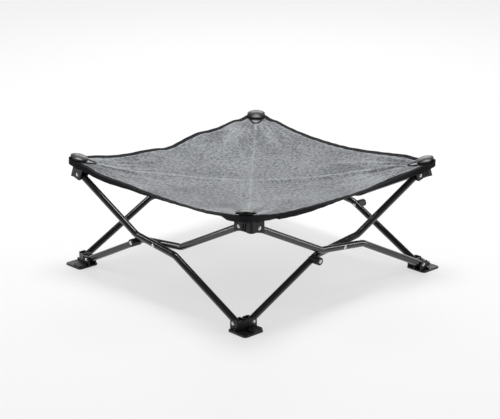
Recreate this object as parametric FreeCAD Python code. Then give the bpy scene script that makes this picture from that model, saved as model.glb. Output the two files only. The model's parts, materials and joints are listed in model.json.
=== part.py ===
"""Folding raised pet bed: a sling on a four-sided scissor frame of round steel tube.

Units are millimetres, +Z is up, the origin is on the floor under the centre of the bed.
Seen from above, the corners run front, right, back, left, anticlockwise, and side k joins the
corner before it to corner k.  Every side is the same, so each piece is built once, on the
front-left side or at the front corner, and turned about Z by quarter turns.

A side is an X of two bent tubes.  Its outer tube runs from the hub at its left end to the foot
at its right end, as seen from outside, and its inner tube from the foot to the hub.
"""
import FreeCAD
import Part
import math
import os

V = FreeCAD.Vector

# ---------------------------------------------------------------- driving dimensions
HALF = 292.0                # corner axis from the middle of the bed, along X and along Y
TUBE_R = 8.0                # outside radius of the 16 mm tube
TUBE_WALL = 1.2
TUBE_GAP = 2.0              # between the two tubes of an X
PIVOT_INSET = 20.5          # pivot of a tube's end from the corner axis, along the side
FOOT_PIVOT_Z = 17.5
HUB_PIVOT_Z = 236.7
BEND_U = 68.0               # bends from the middle of the side
BEND_Z = 8.1                # bends above and below the middle pivot
BEND_R = 36.0               # centre-line radius of the bends
END_R = 9.0                 # round end of a tube about its pivot

RIVET_R = 3.0
RUNNING = 0.05              # radial clearance of a tube that turns on its rivet
HEAD_R = 4.4
HEAD_H = 1.9
HEAD_RIM = 0.5
WASHER_R = 6.8
WASHER_PLAY = 0.1           # of the washer between the tubes

STOP_U = -80.3              # stop bush on the inner tube, from the middle of the side
STOP_R = 9.3
STOP_BREAK = 0.8            # chamfer round the bush's free face
RIVET_PLAY = 0.2            # under the inner head of the middle rivet

CHEEK = 3.2                 # thickness of the plastic cheeks beside a tube
SLOT = 17.0                 # width of the slot a tube end turns in
CHEEK_REACH = 9.0           # cheek of a foot beyond the pivot
CHEEK_TIP_R = 7.5           # rounding of a cheek's free corner
END_ROOM = 1.0              # between a tube's round end and the walls round it
MERGE = 0.5                 # depth by which pieces of one moulding run into each other

PLATE_HALF = 29.0           # foot plate
PLATE_T = 4.2
PLATE_SHIFT = V(0, -1.5, 0)
PLATE_CORNER_R = 8.0
EDGE_BREAK = 0.9            # chamfer along the upper edges of plate and tread
TREAD = (4.0, -3.0, 27.6, 26.0)     # raised tread of the plate's bare side: low and high x, y
TREAD_TOP = PLATE_T + 4.8
TREAD_CORNER_R = 6.0
TREAD_GROOVE = 1.8          # width and depth of the grooves in the tread
TREAD_GROOVES = (3.0, 9.0, 15.0)    # y of the grooves
GUSSET_W = 2.6
GUSSET_REACH = 8.0
GUSSET_TOP = PLATE_T + 5.5

SEAT_Z = 263.6              # top of the hub flange on the corner axis
SEAT_TILT = 14.0            # the seat leans in towards the middle, with the sling
FLANGE_HALF = 19.2
FLANGE_CORNER_R = 14.5
FLANGE_T = 5.0
SPIGOT_R = 7.0
SPIGOT_H = 9.5
POST_DROP = 6.5             # bottom of the hub's post below the pivots
LUG_DROP = 12.5             # lowest point of the hub's lugs below the pivots, at their tips
LUG_REACH = 13.5            # lug beyond the pivot
LUG_TIP_R = 3.5             # rounding of a lug's lower tip
LUG_LAND = 0.9              # lug's outer face beyond the cheek
POST_PROUD = 1.3            # post beyond the lug beside the -X tube
FACET = 4.6                 # cut off the post's outward corner
GROOVE_W = 4.2              # grooves in the post's face
GROOVE_DEPTH = 2.6
GROOVE_STARTS = (-6.0, 1.6)
WEB_HALF = 11.9             # web between the hub's flange and its post
WEB_CORNER_R = 5.0
WEB_H = 9.0
RECESS = 0.5                # clearance round a rivet head that sits in a recess

CAP_RADIAL = 41.0
CAP_TANGENTIAL = 46.0
CAP_CORNER_R = 16.0
CAP_RIM_Z = 2.9             # rim's underside above the seat of the cap
CAP_SIDE_H = 3.2
CAP_DOME_H = 7.6
CAP_NECK_R = 11.5
CAP_NECK_FLARE = 2.0
BOSS_WALL = 1.4             # of the boss round the head of the cap's pin
SCALLOP_R = 7.2
SCALLOP_INSET = 4.6         # start of a scallop inside the rim
SCALLOP_BELOW = 2.6         # axis of a scallop below the rim's underside
PIN_R = 2.4
PIN_DEPTH = 6.0             # pin's inner end beyond the spigot's axis
PIN_RISE = 3.4              # pin above the cap's underside
PIN_HEAD_R = 3.8
PIN_HEAD_H = 1.5

CLOTH = 1.6                 # sling thickness
CLOTH_GAP = 0.45            # between the sling and what it lies on or under
EDGE_AT_CORNER = 314.3      # outer edge of the binding, from the middle, beside the hubs
EDGE_AT_MIDDLE = 282.0      # the same half-way along a side
EDGE_STRAIGHT = 272.0       # the edge is straight from here to the corner
EDGE_CORNER_R = 17.0
EDGE_KINK_R = 40.0          # where the straight part runs into the bowed one
SURFACE_TIP = 316.0         # corner tip of the sling's surface, from the middle
EDGE_SAG = 29.0             # half-way along a side, below the corner tip
CORNER_TIP_Z = 274.2        # top of the sling extended to the sharp corner tip
BINDING_T = 1.5
BINDING_H = 12.2
BINDING_LIP = 0.4           # binding above the sling
SPIGOT_HOLE_GAP = 0.6       # sling's hole round the spigot
SEAM_GAP = 0.15             # a quarter of the sling from the seam plane

# ---------------------------------------------------------------- derived places
REACH = HALF - PIVOT_INSET
MIDDLE_Z = (FOOT_PIVOT_Z + HUB_PIVOT_Z) / 2
PLANE = TUBE_R + TUBE_GAP / 2               # tube axis from the mid-plane of its side
SLOT_LOW = PLANE - SLOT / 2
SLOT_HIGH = PLANE + SLOT / 2
OUTER_SLOPE = math.atan2(MIDDLE_Z - BEND_Z - FOOT_PIVOT_Z, REACH - BEND_U)
STOP_Z = FOOT_PIVOT_Z + (REACH + STOP_U) * math.tan(OUTER_SLOPE)
CORNERS = ["front", "right", "back", "left"]
SIDES = ["front_left", "front_right", "back_right", "back_left"]


# ---------------------------------------------------------------- helpers
def turned(shape, quarter):
    """The shape turned about Z by a number of quarter turns."""
    copy = shape.copy()
    copy.rotate(V(0, 0, 0), V(0, 0, 1), 90.0 * quarter)
    return copy


def save(name, shape):
    if not shape.isValid():
        print("not valid:", name)
    shape.exportStep("parts/" + name + ".step")


def box(low, high):
    """Box between two corners given as (x, y, z)."""
    size = [high[i] - low[i] for i in range(3)]
    return Part.makeBox(size[0], size[1], size[2], V(*low))


def rod(start, end, radius):
    return Part.makeCylinder(radius, (end - start).Length, start, end - start)


def fused(shapes):
    result = shapes[0].multiFuse(shapes[1:])
    return result.removeSplitter()


def only_solid(shape):
    return shape.Solids[0] if len(shape.Solids) == 1 else shape


def rounded_prism(half_x, half_y, radius, low, high, centre=V(0, 0, 0)):
    """Upright prism on a rounded rectangle."""
    x0, x1 = centre.x - half_x, centre.x + half_x
    y0, y1 = centre.y - half_y, centre.y + half_y
    solid = box((x0, y0, low), (x1, y1, high))
    upright = [e for e in solid.Edges if e.BoundBox.ZLength > 0.5 * (high - low)]
    return solid.makeFillet(radius, upright)


# ---------------------------------------------------------------- tubes
def bent_path(points, radius):
    """Wire through the points in one plane, with an arc of the radius at each inner point."""
    edges = []
    start = points[0]
    for before, here, after in zip(points, points[1:], points[2:]):
        back = (before - here).normalize()
        on = (after - here).normalize()
        half_angle = back.getAngle(on) / 2
        tangent = radius / math.tan(half_angle)
        entry = here + back * tangent
        leave = here + on * tangent
        centre_way = (back + on).normalize()
        middle = here + centre_way * (radius / math.sin(half_angle) - radius)
        edges.append(Part.makeLine(start, entry))
        edges.append(Part.Arc(entry, middle, leave).toShape())
        start = leave
    edges.append(Part.makeLine(start, points[-1]))
    return Part.Wire(edges)


def pipe(points, radius):
    """Round bar along the bent path."""
    path = bent_path(points, BEND_R)
    along = points[1] - points[0]
    ring = Part.Wire(Part.makeCircle(radius, points[0], along))
    return path.makePipeShell([ring], True, False)


def tube_points(y, mirror):
    """Pivot, bend, bend, pivot of a tube at depth y; mirror is 1 for the outer tube."""
    flat = [
        (-REACH, HUB_PIVOT_Z),
        (-BEND_U, MIDDLE_Z + BEND_Z),
        (BEND_U, MIDDLE_Z - BEND_Z),
        (REACH, FOOT_PIVOT_Z),
    ]
    return [V(mirror * u, y, z) for u, z in flat]


def end_trim(pivot, toward):
    """What is cut off a tube's end so that it is round about its pivot."""
    away = (pivot - toward).normalize()
    across = V(0, 1, 0)
    block = Part.makeBox(3 * END_R, 4 * END_R, 4 * END_R, V(0, -2 * END_R, -2 * END_R))
    angle = math.degrees(math.atan2(-away.z, away.x))
    block.rotate(V(0, 0, 0), V(0, 1, 0), angle)
    block.translate(pivot)
    keep = rod(pivot - across * 3 * END_R, pivot + across * 3 * END_R, END_R)
    return block.cut(keep)


def frame_tube(y, mirror, pierced):
    """Hollow bent tube; pierced lists (point, radius) of the holes across it."""
    points = tube_points(y, mirror)
    lead = (points[0] - points[1]).normalize() * END_R
    trail = (points[-1] - points[-2]).normalize() * END_R
    route = [points[0] + lead] + points[1:-1] + [points[-1] + trail]
    shape = pipe(route, TUBE_R).cut(pipe(route, TUBE_R - TUBE_WALL))
    shape = shape.cut(end_trim(points[0], points[1]))
    shape = shape.cut(end_trim(points[-1], points[-2]))
    for point, radius in pierced:
        side = V(0, 2 * TUBE_R, 0)
        shape = shape.cut(rod(point - side, point + side, radius))
    return only_solid(shape)


def pivot_ends(y, mirror):
    points = tube_points(y, mirror)
    return [(points[0], RIVET_R + RUNNING), (points[-1], RIVET_R + RUNNING)]


OUTER_Y = -HALF - PLANE
INNER_Y = -HALF + PLANE


def outer_tube():
    holes = pivot_ends(OUTER_Y, 1) + [(V(0, OUTER_Y, MIDDLE_Z), RIVET_R)]
    return frame_tube(OUTER_Y, 1, holes)


def inner_tube():
    holes = pivot_ends(INNER_Y, -1)
    holes.append((V(0, INNER_Y, MIDDLE_Z), RIVET_R + RUNNING))
    holes.append((V(STOP_U, INNER_Y, STOP_Z), RIVET_R))
    return frame_tube(INNER_Y, -1, holes)


# ---------------------------------------------------------------- rivets and bushes
def rivet_head(seat, way, radius=HEAD_R, height=HEAD_H):
    """Domed head standing on the point seat and facing way, with a small rim."""
    rim = HEAD_RIM
    crown = (radius * radius + (height - rim) ** 2) / (2 * (height - rim))
    cap = Part.makeSphere(crown, seat + way * (height - crown))
    upper = rod(seat + way * rim, seat + way * (height + 1), radius)
    return fused([rod(seat, seat + way * rim, radius), cap.common(upper)])


def rivet(start, end, radius=RIVET_R):
    """Headed rivet; start and end are the undersides of its two heads."""
    way = (end - start).normalize()
    parts = [rod(start, end, radius), rivet_head(start, way * -1), rivet_head(end, way)]
    return only_solid(fused(parts))


def middle_rivet():
    """Rivet where the two tubes of a side cross; it is fast in the outer tube."""
    outside = V(0, OUTER_Y - TUBE_R, MIDDLE_Z)
    inside = V(0, INNER_Y + TUBE_R + RIVET_PLAY, MIDDLE_Z)
    return rivet(outside, inside)


def middle_washer():
    """Thin washer between the two tubes of a side."""
    thick = TUBE_GAP - WASHER_PLAY
    start = V(0, -HALF - thick / 2, MIDDLE_Z)
    end = V(0, -HALF + thick / 2, MIDDLE_Z)
    return rod(start, end, WASHER_R).cut(rod(start, end, RIVET_R))


def stop_bush():
    """Bush that stands out from the inner tube and meets the outer tube if it over-opens."""
    axis = V(STOP_U, INNER_Y, STOP_Z)
    face = V(STOP_U, OUTER_Y - TUBE_R, STOP_Z)
    body = rod(axis, face, STOP_R)
    rim = [e for e in body.Edges if abs(e.BoundBox.YMax - face.y) < 0.01]
    body = body.makeChamfer(STOP_BREAK, rim[:1])
    body = body.cut(pipe(tube_points(INNER_Y, -1), TUBE_R))
    body = max(body.Solids, key=lambda solid: solid.Volume)
    return body.cut(rod(axis, face, RIVET_R))


def stop_rivet():
    inside = V(STOP_U, INNER_Y + TUBE_R, STOP_Z)
    outside = V(STOP_U, OUTER_Y - TUBE_R, STOP_Z)
    return rivet(outside, inside)


# ---------------------------------------------------------------- clevis walls of hubs and feet
# Corner coordinates: the corner axis is x = HALF, y = -HALF, and "at" adds it.
def at(x, y, z):
    return V(HALF + x, -HALF + y, z)


def corner_box(low, high):
    return box((HALF + low[0], -HALF + low[1], low[2]), (HALF + high[0], -HALF + high[1], high[2]))


def cheek_x(y0, y1, root, reach, low, high, round_low):
    """Cheek across Y beside a tube that leaves along -X, with one corner of its tip rounded."""
    tip = -PIVOT_INSET - reach
    cheek = corner_box((tip, y0, low), (root, y1, high))
    edge_z = low if round_low else high
    edges = []
    for edge in cheek.Edges:
        bounds = edge.BoundBox
        at_tip = abs(bounds.XMax - (HALF + tip)) < 0.01
        if at_tip and bounds.YLength > 0.5 * (y1 - y0) and abs(bounds.ZMax - edge_z) < 0.01:
            edges.append(edge)
    return cheek.makeFillet(CHEEK_TIP_R, edges)


def mirrored_to_y(shape):
    """A piece beside the -X tube, mirrored in the corner's diagonal, to serve the +Y tube."""
    copy = shape.copy()
    copy.translate(V(-HALF, HALF, 0))
    copy = copy.mirror(V(0, 0, 0), V(1, 1, 0).normalize())
    copy.translate(V(HALF, -HALF, 0))
    return copy


def rivet_pair(planes, pivot_z):
    """Two rivets at a corner: one beside the -X tube, one beside the +Y tube."""
    outer = SLOT / 2 + CHEEK
    first = rivet(at(-PIVOT_INSET, planes[0] - outer, pivot_z),
                  at(-PIVOT_INSET, planes[0] + outer, pivot_z))
    second = rivet(at(planes[1] + outer, PIVOT_INSET, pivot_z),
                   at(planes[1] - outer, PIVOT_INSET, pivot_z))
    return Part.makeCompound([first, second])


def rivet_holes(planes, pivot_z):
    outer = SLOT / 2 + 2 * CHEEK
    return [
        rod(at(-PIVOT_INSET, planes[0] - outer, pivot_z),
            at(-PIVOT_INSET, planes[0] + outer, pivot_z), RIVET_R),
        rod(at(planes[1] - outer, PIVOT_INSET, pivot_z),
            at(planes[1] + outer, PIVOT_INSET, pivot_z), RIVET_R),
    ]


# ---------------------------------------------------------------- feet
FOOT_PLANES = (-PLANE, -PLANE)      # y of the -X tube, x of the +Y tube
FOOT_TOP = FOOT_PIVOT_Z + CHEEK_REACH
WALL_TOP = FOOT_PIVOT_Z + 6.8
WALL_BOW_OUT = (-2.2, -5.6)         # middles of the curved wall's two faces
WALL_BOW_IN = (-5.0, -3.4)


def broken_upper_edge(prism, top):
    edges = [e for e in prism.Edges if e.BoundBox.ZMin > top - 0.01]
    return prism.makeChamfer(EDGE_BREAK, edges)


def foot():
    """Foot: a plate with two open-topped slots at right angles and a curved outer wall."""
    plate = rounded_prism(PLATE_HALF, PLATE_HALF, PLATE_CORNER_R, 0, PLATE_T,
                          at(0, 0, 0) + PLATE_SHIFT)
    root = -PIVOT_INSET + END_R + END_ROOM
    wall = root + CHEEK
    low, high = -SLOT_HIGH, -SLOT_LOW
    parts = [broken_upper_edge(plate, PLATE_T), tread()]
    # Slot along X for the outer tube, from outside in: cheek, end wall, cheek.
    parts.append(foot_cheek(low - CHEEK, low, wall))
    parts.append(corner_box((root, low - CHEEK, MERGE), (wall, high, WALL_TOP)))
    parts.append(foot_cheek(high, high + CHEEK, wall))
    # Slot along Y for the inner tube.
    parts.append(mirrored_to_y(foot_cheek(SLOT_LOW - CHEEK, SLOT_LOW, wall)))
    parts.append(mirrored_to_y(foot_cheek(SLOT_HIGH, SLOT_HIGH + CHEEK, wall)))
    parts.append(corner_box((-SLOT_HIGH, -wall, MERGE), (-SLOT_LOW, -root, WALL_TOP)))
    parts.append(curved_wall(wall, low - CHEEK))
    gusset_start = (wall - GUSSET_W, low - CHEEK - GUSSET_REACH, MERGE)
    parts.append(corner_box(gusset_start, (wall, low - CHEEK, GUSSET_TOP)))
    shape = fused(parts)
    for hole in rivet_holes(FOOT_PLANES, FOOT_PIVOT_Z):
        shape = shape.cut(hole)
    return only_solid(shape)


def foot_cheek(y0, y1, root):
    return cheek_x(y0, y1, root, CHEEK_REACH, MERGE, FOOT_TOP, False)


def tread():
    """Grooved pad raised on the side of the plate that no tube comes to."""
    x0, y0, x1, y1 = TREAD
    middle = at((x0 + x1) / 2, (y0 + y1) / 2, 0)
    pad = rounded_prism((x1 - x0) / 2, (y1 - y0) / 2, TREAD_CORNER_R, MERGE, TREAD_TOP, middle)
    pad = broken_upper_edge(pad, TREAD_TOP)
    floor = TREAD_TOP - TREAD_GROOVE
    for y in TREAD_GROOVES:
        pad = pad.cut(corner_box((x0 - 1, y, floor), (x1 + 1, y + TREAD_GROOVE, TREAD_TOP + 1)))
    return pad


def curved_wall(wall, outside):
    """Hollow-curved wall between the outer cheeks of a foot."""
    z = MERGE
    a = at(wall - CHEEK, outside, z)
    b = at(wall, outside, z)
    c = at(CHEEK - SLOT_LOW, -wall, z)
    d = at(-SLOT_LOW, -wall, z)
    edges = [
        Part.makeLine(a, b),
        Part.Arc(b, at(*WALL_BOW_OUT, z), c).toShape(),
        Part.makeLine(c, d),
        Part.Arc(d, at(*WALL_BOW_IN, z), a).toShape(),
    ]
    return Part.Face(Part.Wire(edges)).extrude(V(0, 0, WALL_TOP - z))


# ---------------------------------------------------------------- hubs
HUB_PLANES = (PLANE, PLANE)
HUB_BODY_TOP = SEAT_Z - 13.0
POST_TOP = SEAT_Z - 6.0
HUB_CEILING = HUB_PIVOT_Z + END_R + END_ROOM
# Outer faces at the height of the pivots, from which they lean in with the seat.
LUG_FACE = SLOT_LOW - CHEEK - LUG_LAND      # y, beside the -X tube
POST_FACE = LUG_FACE - POST_PROUD
SIDE_FACE = SLOT_HIGH + CHEEK + LUG_LAND    # x, beside the +Y tube
LEAN = math.tan(math.radians(SEAT_TILT)) / math.sqrt(2)


def leaning_prism(outline, low, high):
    """Prism on a plan outline given at the height of the pivots, leaning in with the seat."""
    rise = low - HUB_PIVOT_Z
    corners = [at(x - LEAN * rise, y + LEAN * rise, low) for x, y in outline]
    height = high - low
    base = Part.Face(Part.makePolygon(corners + corners[:1]))
    return base.extrude(V(-LEAN * height, LEAN * height, height))


def lug_block(outline, along, root, tip):
    """Leaning block, cut to a lug by its slot; its bottom falls from the post to its tip.

    along is the way the lug points; root and tip are its ends along it from the corner axis.
    """
    low = HUB_PIVOT_Z - LUG_DROP
    post_bottom = HUB_PIVOT_Z - POST_DROP
    block = leaning_prism(outline, low, HUB_BODY_TOP)
    below = [(0, post_bottom), (root, post_bottom), (tip, low), (tip, low - 1), (0, low - 1)]
    corners = [at(0, 0, z) + along * reach for reach, z in below]
    wedge = Part.Face(Part.makePolygon(corners + corners[:1]))
    across = V(0, 0, 1).cross(along) * 2 * PLATE_HALF
    wedge.translate(across * -0.5)
    block = block.cut(wedge.extrude(across))
    tip_edge = max(block.Edges, key=lambda e: e.CenterOfMass.dot(along * 3 - V(0, 0, 1)))
    return block.makeFillet(LUG_TIP_R, [tip_edge])


def seat_frame(height=0.0):
    """Placement whose Z is the leaning axis of the seat, height above the flange's top."""
    outward = V(1, -1, 0).normalize()
    across = V(1, 1, 0).normalize()
    lean = FreeCAD.Rotation(across, -SEAT_TILT)
    up = lean.multVec(V(0, 0, 1))
    outward_leaning = lean.multVec(outward)
    rotation = FreeCAD.Rotation(outward_leaning, across, up, "ZXY")
    return FreeCAD.Placement(at(0, 0, SEAT_Z) + up * height, rotation)


def on_seat(shape, height=0.0):
    """A shape drawn about its own Z, X outward, set on the leaning seat."""
    copy = shape.copy()
    copy.Placement = seat_frame(height).multiply(copy.Placement)
    return copy


def square_on_seat(half, radius, low, high):
    """Rounded square whose sides lie along the bed's sides, on the leaning seat."""
    prism = rounded_prism(half, half, radius, low, high)
    prism.rotate(V(0, 0, 0), V(0, 0, 1), 45)
    return on_seat(prism)


def hub():
    """Hub: a ribbed post with two slots open below, and a flange that the sling lies on."""
    bottom = HUB_PIVOT_Z - POST_DROP
    lug_bottom = HUB_PIVOT_Z - LUG_DROP
    root = -PIVOT_INSET + END_R + END_ROOM
    top = HUB_BODY_TOP
    tip = -PIVOT_INSET - LUG_REACH
    # Post at the outward corner, with its narrow facet, and the outer lugs beside it.
    post = [
        (root, POST_FACE), (SIDE_FACE - FACET, POST_FACE), (SIDE_FACE, POST_FACE + FACET),
        (SIDE_FACE, -root), (root, -root),
    ]
    inside = SLOT_LOW + CHEEK
    lug = [(tip, LUG_FACE), (root + 1, LUG_FACE), (root + 1, inside), (tip, inside)]
    inside = SLOT_HIGH - CHEEK
    side_lug = [(inside, -root - 1), (SIDE_FACE, -root - 1), (SIDE_FACE, -tip), (inside, -tip)]
    outside = [
        leaning_prism(post, bottom, POST_TOP),
        lug_block(lug, V(-1, 0, 0), -root - 1, -tip),
        lug_block(side_lug, V(0, 1, 0), -root - 1, -tip),
    ]
    shape = fused(outside)
    for slot in hub_slots(root, tip, lug_bottom):
        shape = shape.cut(slot)
    parts = [shape, corner_box((root, SLOT_LOW, bottom), (SLOT_LOW, SLOT_HIGH + CHEEK, top))]
    # Inner cheeks of the two slots.
    parts.append(hub_cheek(SLOT_HIGH, SLOT_HIGH + CHEEK, root))
    parts.append(mirrored_to_y(hub_cheek(-SLOT_LOW, CHEEK - SLOT_LOW, root)))
    # Ceiling over both slots.
    low, high = SLOT_LOW - MERGE, SLOT_HIGH + MERGE
    parts.append(corner_box((tip, low, HUB_CEILING), (root + MERGE, high, top)))
    parts.append(corner_box((low, -root - MERGE, HUB_CEILING), (high, -tip, top)))
    # Leaning flange, its web down to the post, and the spigot that holds sling and cap.
    parts.append(square_on_seat(FLANGE_HALF, FLANGE_CORNER_R, -FLANGE_T, 0))
    parts.append(square_on_seat(WEB_HALF, WEB_CORNER_R, -FLANGE_T - WEB_H, MERGE - FLANGE_T))
    parts.append(on_seat(Part.makeCylinder(SPIGOT_R, SPIGOT_H + 1, V(0, 0, -1))))
    shape = fused(parts)
    cuts = hub_grooves(bottom) + rivet_holes(HUB_PLANES, HUB_PIVOT_Z) + head_recesses()
    for cut in cuts + [pin_cutter()]:
        shape = shape.cut(cut)
    return only_solid(shape)


def hub_cheek(y0, y1, root):
    return cheek_x(y0, y1, root, LUG_REACH, HUB_PIVOT_Z - POST_DROP, HUB_BODY_TOP, True)


def hub_slots(root, tip, low):
    """Upright slots for the two tube ends, open below and away from the post."""
    return [
        corner_box((tip - 5, SLOT_LOW, low - 5), (root, SLOT_HIGH, HUB_CEILING)),
        corner_box((SLOT_LOW, -root, low - 5), (SLOT_HIGH, 5 - tip, HUB_CEILING)),
    ]


def hub_grooves(bottom):
    """Two leaning grooves in the post's face beside the -X lug."""
    outer, inner = POST_FACE - 1, POST_FACE + GROOVE_DEPTH
    grooves = []
    for start in GROOVE_STARTS:
        end = start + GROOVE_W
        outline = [(start, outer), (end, outer), (end, inner), (start, inner)]
        grooves.append(leaning_prism(outline, bottom - 1, POST_TOP - 1.5))
    return grooves


def head_recesses():
    """Flat seats cut into the hub for the heads of its two rivets."""
    radius = HEAD_R + RECESS
    outer = SLOT / 2 + CHEEK
    z = HUB_PIVOT_Z
    first = at(-PIVOT_INSET, PLANE - outer, z)
    second = at(PLANE + outer, PIVOT_INSET, z)
    second_inner = at(PLANE - outer, PIVOT_INSET, z)
    return [
        rod(first, first - V(0, 10, 0), radius),
        rod(second, second + V(10, 0, 0), radius),
        rod(second_inner, second_inner - V(HEAD_H + RECESS, 0, 0), radius),
    ]


# ---------------------------------------------------------------- caps
CAP_SEAT = CLOTH + 2 * CLOTH_GAP
PIN_Z = CAP_SEAT + PIN_RISE
PIN_HEAD_SEAT = CAP_NECK_R + 3.5            # from the spigot's axis


def pin_cutter(radius=PIN_R, inner=-PIN_DEPTH, outer=CAP_RADIAL):
    cutter = Part.makeCylinder(radius, outer - inner, V(inner, 0, PIN_Z), V(1, 0, 0))
    return on_seat(cutter)


def cap():
    """Mushroom cap: domed rounded square on a neck, with four scallops under its rim."""
    half_r, half_t = CAP_RADIAL / 2, CAP_TANGENTIAL / 2
    rim = rounded_prism(half_r, half_t, CAP_CORNER_R, CAP_RIM_Z, CAP_RIM_Z + CAP_SIDE_H + CAP_DOME_H)
    wide = max(half_r, half_t) + 2.5
    crown = (wide * wide + CAP_DOME_H ** 2) / (2 * CAP_DOME_H)
    apex = CAP_RIM_Z + CAP_SIDE_H + CAP_DOME_H
    rim = rim.common(Part.makeSphere(crown, V(0, 0, apex - crown)))
    neck = Part.makeCone(CAP_NECK_R, CAP_NECK_R + CAP_NECK_FLARE, CAP_RIM_Z + MERGE)
    boss = Part.makeCylinder(PIN_HEAD_R + BOSS_WALL, PIN_HEAD_SEAT, V(0, 0, PIN_RISE), V(1, 0, 0))
    boss = boss.common(box((0, -half_t, 0), (CAP_RADIAL, half_t, CAP_RADIAL)))
    shape = fused([rim, neck, boss])
    for turn in (45, 135, 225, 315):
        start = V(half_r - SCALLOP_INSET, 0, CAP_RIM_Z - SCALLOP_BELOW)
        scallop = Part.makeCylinder(SCALLOP_R, half_r, start, V(1, 0, 0))
        scallop.rotate(V(0, 0, 0), V(0, 0, 1), turn)
        shape = shape.cut(scallop)
    shape = shape.cut(Part.makeCylinder(SPIGOT_R, SPIGOT_H - CAP_SEAT + 0.5, V(0, 0, 0)))
    head_room = pin_cutter(PIN_HEAD_R + RECESS, PIN_HEAD_SEAT)
    shape = on_seat(shape, CAP_SEAT).cut(pin_cutter()).cut(head_room)
    return max(shape.Solids, key=lambda solid: solid.Volume)


def cap_pin():
    """Pin through the outward side of the cap's neck into the hub's spigot."""
    length = PIN_DEPTH + PIN_HEAD_SEAT
    shank = Part.makeCylinder(PIN_R, length, V(-PIN_DEPTH, 0, PIN_Z), V(1, 0, 0))
    head = rivet_head(V(PIN_HEAD_SEAT, 0, PIN_Z), V(1, 0, 0), PIN_HEAD_R, PIN_HEAD_H)
    return on_seat(only_solid(fused([shank, head])))


# ---------------------------------------------------------------- sling and binding
def sling_height(x, y):
    """Top of the sling: lowest in the middle, rising to the corners."""
    p = 1 - (x / SURFACE_TIP) ** 2
    q = 1 - (y / SURFACE_TIP) ** 2
    return CORNER_TIP_Z - EDGE_SAG * (p + q)


def quarter_slab(top_drop, bottom_drop):
    """Slab of the front quarter between two copies of the sling's surface."""
    steps = 9
    far = SURFACE_TIP + 4
    places = [SEAM_GAP + (far - SEAM_GAP) * i / (steps - 1) for i in range(steps)]
    faces = []
    borders = []
    for drop in (top_drop, bottom_drop):
        rows = [[V(x, -y, sling_height(x, y) - drop) for y in places] for x in places]
        surface = Part.BSplineSurface()
        surface.interpolate(rows)
        face = surface.toShape()
        faces.append(face)
        borders.append(face.Edges)
    for upper in borders[0]:
        middle = upper.CenterOfMass
        lower = min(borders[1], key=lambda e: (e.CenterOfMass - middle).Length)
        faces.append(Part.makeRuledSurface(upper, lower))
    shell = Part.Shell(Part.makeCompound(faces).Faces)
    shell.sewShape()
    return Part.Solid(Part.Shell(shell.Faces))


def outline_prism(inset):
    """Tall prism over the front quarter of the sling's outline, drawn in by inset."""
    corner = EDGE_AT_CORNER - inset
    middle = EDGE_AT_MIDDLE - inset
    straight = EDGE_STRAIGHT
    half = straight / 2
    half_edge = middle + (corner - middle) / 4
    z = CORNER_TIP_Z - 2 * EDGE_SAG - 3 * BINDING_H
    gap = SEAM_GAP
    edges = [
        Part.makeLine(V(gap, -gap, z), V(gap, -middle, z)),
        Part.Arc(V(gap, -middle, z), V(half, -half_edge, z), V(straight, -corner, z)).toShape(),
        Part.makeLine(V(straight, -corner, z), V(corner, -corner, z)),
        Part.makeLine(V(corner, -corner, z), V(corner, -straight, z)),
        Part.Arc(V(corner, -straight, z), V(half_edge, -half, z), V(middle, -gap, z)).toShape(),
        Part.makeLine(V(middle, -gap, z), V(gap, -gap, z)),
    ]
    prism = Part.Face(Part.Wire(edges)).extrude(V(0, 0, 2 * EDGE_SAG + 6 * BINDING_H))
    prism = prism.makeFillet(EDGE_CORNER_R - inset, [upright_edge(prism, corner, -corner)])
    kinks = [upright_edge(prism, straight, -corner), upright_edge(prism, corner, -straight)]
    return prism.makeFillet(EDGE_KINK_R, kinks)


def upright_edge(solid, x, y):
    """The vertical edge of the solid that is nearest to (x, y)."""
    upright = [e for e in solid.Edges if e.BoundBox.ZLength > EDGE_SAG]
    return min(upright, key=lambda e: math.hypot(e.BoundBox.XMin - x, e.BoundBox.YMax - y))


def sling_quarter():
    """Quarter of the sling, pierced for the spigot at its corner."""
    sheet = quarter_slab(0, CLOTH).common(outline_prism(BINDING_T))
    hole = on_seat(Part.makeCylinder(SPIGOT_R + SPIGOT_HOLE_GAP, 3 * SPIGOT_H, V(0, 0, -SPIGOT_H)))
    return only_solid(sheet.cut(hole))


def binding_quarter():
    """Quarter of the binding tape that hangs round the sling's edge."""
    ring = outline_prism(0).cut(outline_prism(BINDING_T))
    return only_solid(quarter_slab(-BINDING_LIP, BINDING_H).common(ring))


# ---------------------------------------------------------------- write every piece
def main():
    os.makedirs("parts", exist_ok=True)
    side_pieces = {
        "outer_tube": outer_tube(),
        "inner_tube": inner_tube(),
        "middle_rivet": middle_rivet(),
        "middle_washer": middle_washer(),
        "stop_bush": stop_bush(),
        "stop_rivet": stop_rivet(),
    }
    corner_pieces = {
        "foot": foot(),
        "foot_rivets": rivet_pair(FOOT_PLANES, FOOT_PIVOT_Z),
        "hub": hub(),
        "hub_rivets": rivet_pair(HUB_PLANES, HUB_PIVOT_Z),
        "cap": cap(),
        "cap_pin": cap_pin(),
        "sling": sling_quarter(),
        "binding": binding_quarter(),
    }
    for quarter in range(4):
        for name, shape in side_pieces.items():
            save(name + "_" + SIDES[quarter], turned(shape, quarter))
        for name, shape in corner_pieces.items():
            save(name + "_" + CORNERS[quarter], turned(shape, quarter))


main()
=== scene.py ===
import json
import math

import bmesh
import bpy
import numpy as np
from mathutils import Matrix, Vector

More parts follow.
